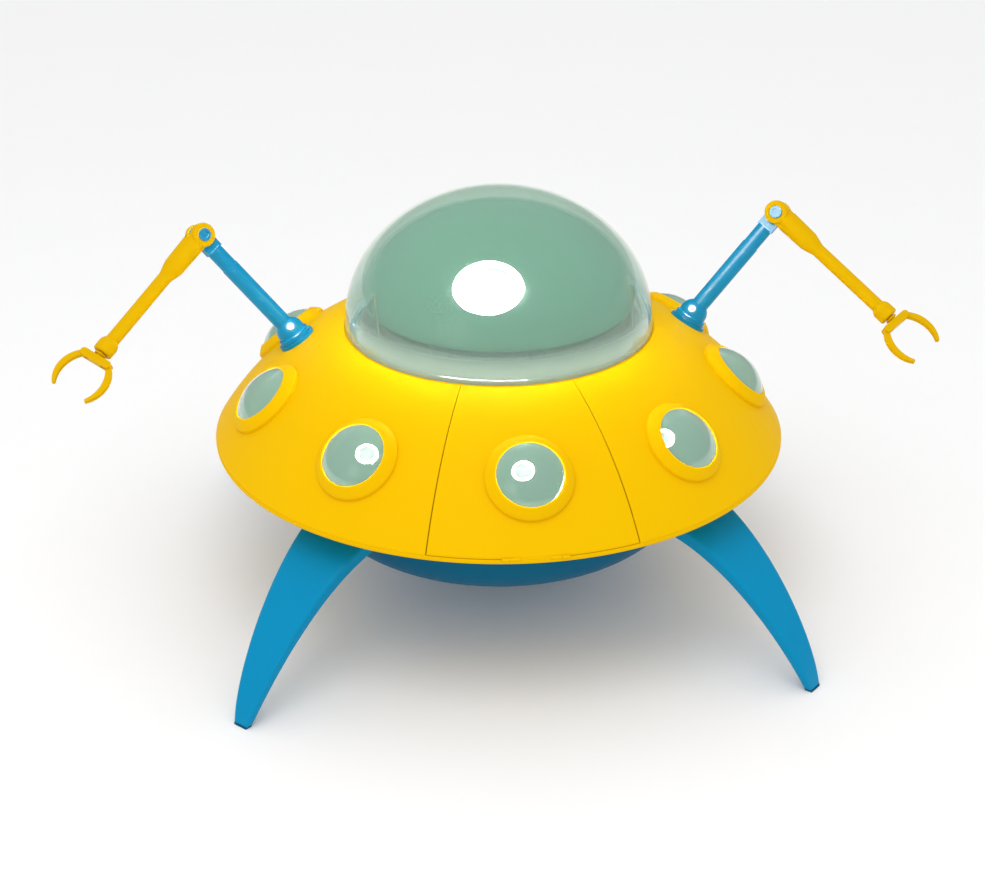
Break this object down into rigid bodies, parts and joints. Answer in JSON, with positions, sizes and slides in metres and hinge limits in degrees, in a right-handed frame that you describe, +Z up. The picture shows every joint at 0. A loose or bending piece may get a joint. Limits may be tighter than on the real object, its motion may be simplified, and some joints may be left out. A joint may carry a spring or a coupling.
{
  "type": "kiddie ride machine",
  "caption": "Coin-ride style flying saucer for one small child, with a bubble canopy, porthole lamps, two posable claw arms and splayed legs.",
  "frame": {"origin": "on the floor, under the middle of the saucer", "axes": "+Z up, -Y towards the front hatch, +X to the right of someone facing the front; the arms reach along X"},
  "size_m": [2.2764, 1.501, 1.08],
  "materials": {
    "yellow_shell": "satin moulded glass-fibre",
    "yellow_arm": "satin moulded plastic",
    "blue_gloss": "gloss moulded glass-fibre",
    "blue_arm": "gloss moulded plastic",
    "canopy_clear": "clear green-tinted acrylic",
    "canopy_tint": "deep green-tinted acrylic",
    "lens_clear": "clear acrylic dome",
    "lamp_green": "green reflector",
    "tub_teal": "fine-grained moulding",
    "seat_vinyl": "blue vinyl",
    "knob_red": "gloss ball knob",
    "button_green": "gloss button",
    "black_rubber": "matt moulded",
    "machined_steel": "turned",
    "zinc_steel": "zinc plated",
    "stay_steel": "bright",
    "motor_paint": "semi-gloss",
    "dark_plastic": "moulded"
  },
  "bodies": {
    "base": {"leg_front_left": "blue_gloss", "leg_front_right": "blue_gloss", "leg_rear_left": "blue_gloss", "leg_rear_right": "blue_gloss", "foot_pads": "black_rubber", "leg_bolts": "zinc_steel", "belly_pan": "blue_gloss", "hub_plate": "machined_steel", "bearing_race": "machined_steel", "gearbox": "motor_paint", "drive_motor": "motor_paint", "slip_ring_housing": "dark_plastic", "power_inlet": "dark_plastic"},
    "pinion": {"drive_pinion": "machined_steel"},
    "saucer": {"slewing_gear": "machined_steel", "turntable": "machined_steel", "slip_ring_rotor": "dark_plastic", "under_shell": "yellow_shell", "rim_band": "yellow_shell", "upper_shell": "yellow_shell", "coaming_ring": "yellow_shell", "canopy_seal": "black_rubber", "cockpit_tub": "tub_teal", "seat_cushion": "seat_vinyl", "seat_back": "seat_vinyl", "control_console": "tub_teal", "control_box": "dark_plastic", "porthole_bezels": "yellow_shell", "porthole_lenses": "lens_clear", "lamp_cups": "lamp_green", "hatch_hinge_pin": "machined_steel", "shoulder_flanges": "blue_arm", "canopy_hinge_leaves": "yellow_shell", "canopy_hinge_pins": "machined_steel"},
    "hatch": {"service_hatch": "yellow_shell", "hatch_bezel": "yellow_shell", "hatch_lens": "lens_clear", "hatch_lamp_cup": "lamp_green"},
    "canopy": {"canopy_shell": "canopy_clear", "canopy_liner": "canopy_tint", "canopy_ring": "canopy_clear", "canopy_stays": "stay_steel", "canopy_hinge_ears": "yellow_shell"},
    "gimbal": {"joystick_gimbal": "dark_plastic"},
    "joystick": {"joystick": "knob_red"},
    "start_button": {"start_button": "button_green"},
    "shoulder_right": {"shoulder_cup_right": "blue_arm"},
    "upper_arm_right": {"upper_arm_right": "blue_arm"},
    "forearm_right": {"forearm_right": "yellow_arm", "elbow_pin_right": "blue_arm"},
    "claw_right": {"claw_palm_right": "yellow_arm"},
    "finger_upper_right": {"claw_finger_upper_right": "yellow_arm"},
    "finger_lower_right": {"claw_finger_lower_right": "yellow_arm"},
    "shoulder_left": {"shoulder_cup_left": "blue_arm"},
    "upper_arm_left": {"upper_arm_left": "blue_arm"},
    "forearm_left": {"forearm_left": "yellow_arm", "elbow_pin_left": "blue_arm"},
    "claw_left": {"claw_palm_left": "yellow_arm"},
    "finger_upper_left": {"claw_finger_upper_left": "yellow_arm"},
    "finger_lower_left": {"claw_finger_lower_left": "yellow_arm"}
  },
  "joints": [
    {"name": "saucer_turn", "type": "hinge", "parent": "base", "child": "saucer", "pos_m": [0, 0, 0.361], "axis": [0, 0, 1], "continuous": true},
    {"name": "pinion_turn", "type": "hinge", "parent": "base", "child": "pinion", "pos_m": [0, 0.27, 0.361], "axis": [0, 0, 1], "continuous": true},
    {"name": "canopy_lift", "type": "hinge", "parent": "saucer", "child": "canopy", "pos_m": [0, 0.42, 0.741], "axis": [-1, 0, 0], "range_deg": [0, 65]},
    {"name": "hatch_drop", "type": "hinge", "parent": "saucer", "child": "hatch", "pos_m": [0, -0.747, 0.4415], "axis": [1, 0, 0], "range_deg": [0, 95]},
    {"name": "joystick_side", "type": "hinge", "parent": "saucer", "child": "gimbal", "pos_m": [0, -0.2873, 0.591], "axis": [0, 1, 0], "range_deg": [-18, 18], "stiffness_Nm_per_rad": 1.2},
    {"name": "joystick_forward", "type": "hinge", "parent": "gimbal", "child": "joystick", "pos_m": [0, -0.2873, 0.591], "axis": [1, 0, 0], "range_deg": [-18, 18], "stiffness_Nm_per_rad": 1.2},
    {"name": "start_press", "type": "slide", "parent": "saucer", "child": "start_button", "axis": [0, 0, -1], "range_m": [0, 0.0045], "stiffness_N_per_m": 400},
    {"name": "shoulder_swivel_right", "type": "hinge", "parent": "saucer", "child": "shoulder_right", "pos_m": [0.53989, 0.10397, 0.68275], "axis": [0.5353, 0.1031, 0.8384], "range_deg": [-35, 35]},
    {"name": "shoulder_raise_right", "type": "hinge", "parent": "shoulder_right", "child": "upper_arm_right", "pos_m": [0.53989, 0.10397, 0.68275], "axis": [-0.1891, 0.982, 0], "range_deg": [-30, 20]},
    {"name": "elbow_bend_right", "type": "hinge", "parent": "upper_arm_right", "child": "forearm_right", "pos_m": [0.75996, 0.11897, 0.95321], "axis": [0.4202, 0.8206, -0.3874], "range_deg": [-80, 12]},
    {"name": "wrist_roll_right", "type": "hinge", "parent": "forearm_right", "child": "claw_right", "pos_m": [1.02394, -0.12208, 0.72896], "axis": [0.6256, -0.5712, -0.5314], "range_deg": [-90, 90]},
    {"name": "finger_upper_swing_right", "type": "hinge", "parent": "claw_right", "child": "finger_upper_right", "pos_m": [1.05548, -0.10379, 0.73701], "axis": [0.1383, -0.5891, 0.7961], "range_deg": [-18, 25]},
    {"name": "finger_lower_swing_right", "type": "hinge", "parent": "claw_right", "child": "finger_lower_right", "pos_m": [0.99866, -0.14609, 0.71559], "axis": [-0.1383, 0.5891, -0.7961], "range_deg": [-18, 25]},
    {"name": "shoulder_swivel_left", "type": "hinge", "parent": "saucer", "child": "shoulder_left", "pos_m": [-0.53989, 0.10397, 0.68275], "axis": [0.5353, -0.1031, -0.8384], "range_deg": [-35, 35]},
    {"name": "shoulder_raise_left", "type": "hinge", "parent": "shoulder_left", "child": "upper_arm_left", "pos_m": [-0.53989, 0.10397, 0.68275], "axis": [-0.1891, -0.982, 0], "range_deg": [-30, 20]},
    {"name": "elbow_bend_left", "type": "hinge", "parent": "upper_arm_left", "child": "forearm_left", "pos_m": [-0.75996, 0.11897, 0.95321], "axis": [0.4202, -0.8206, 0.3874], "range_deg": [-80, 12]},
    {"name": "wrist_roll_left", "type": "hinge", "parent": "forearm_left", "child": "claw_left", "pos_m": [-1.02394, -0.12208, 0.72896], "axis": [0.6256, 0.5712, 0.5314], "range_deg": [-90, 90]},
    {"name": "finger_upper_swing_left", "type": "hinge", "parent": "claw_left", "child": "finger_upper_left", "pos_m": [-1.05548, -0.10379, 0.73701], "axis": [0.1383, 0.5891, -0.7961], "range_deg": [-18, 25]},
    {"name": "finger_lower_swing_left", "type": "hinge", "parent": "claw_left", "child": "finger_lower_left", "pos_m": [-0.99866, -0.14609, 0.71559], "axis": [-0.1383, -0.5891, 0.7961], "range_deg": [-18, 25]}
  ],
  "couplings": [
    {"joint": "pinion_turn", "follows": "saucer_turn", "ratio": -5}
  ]
}
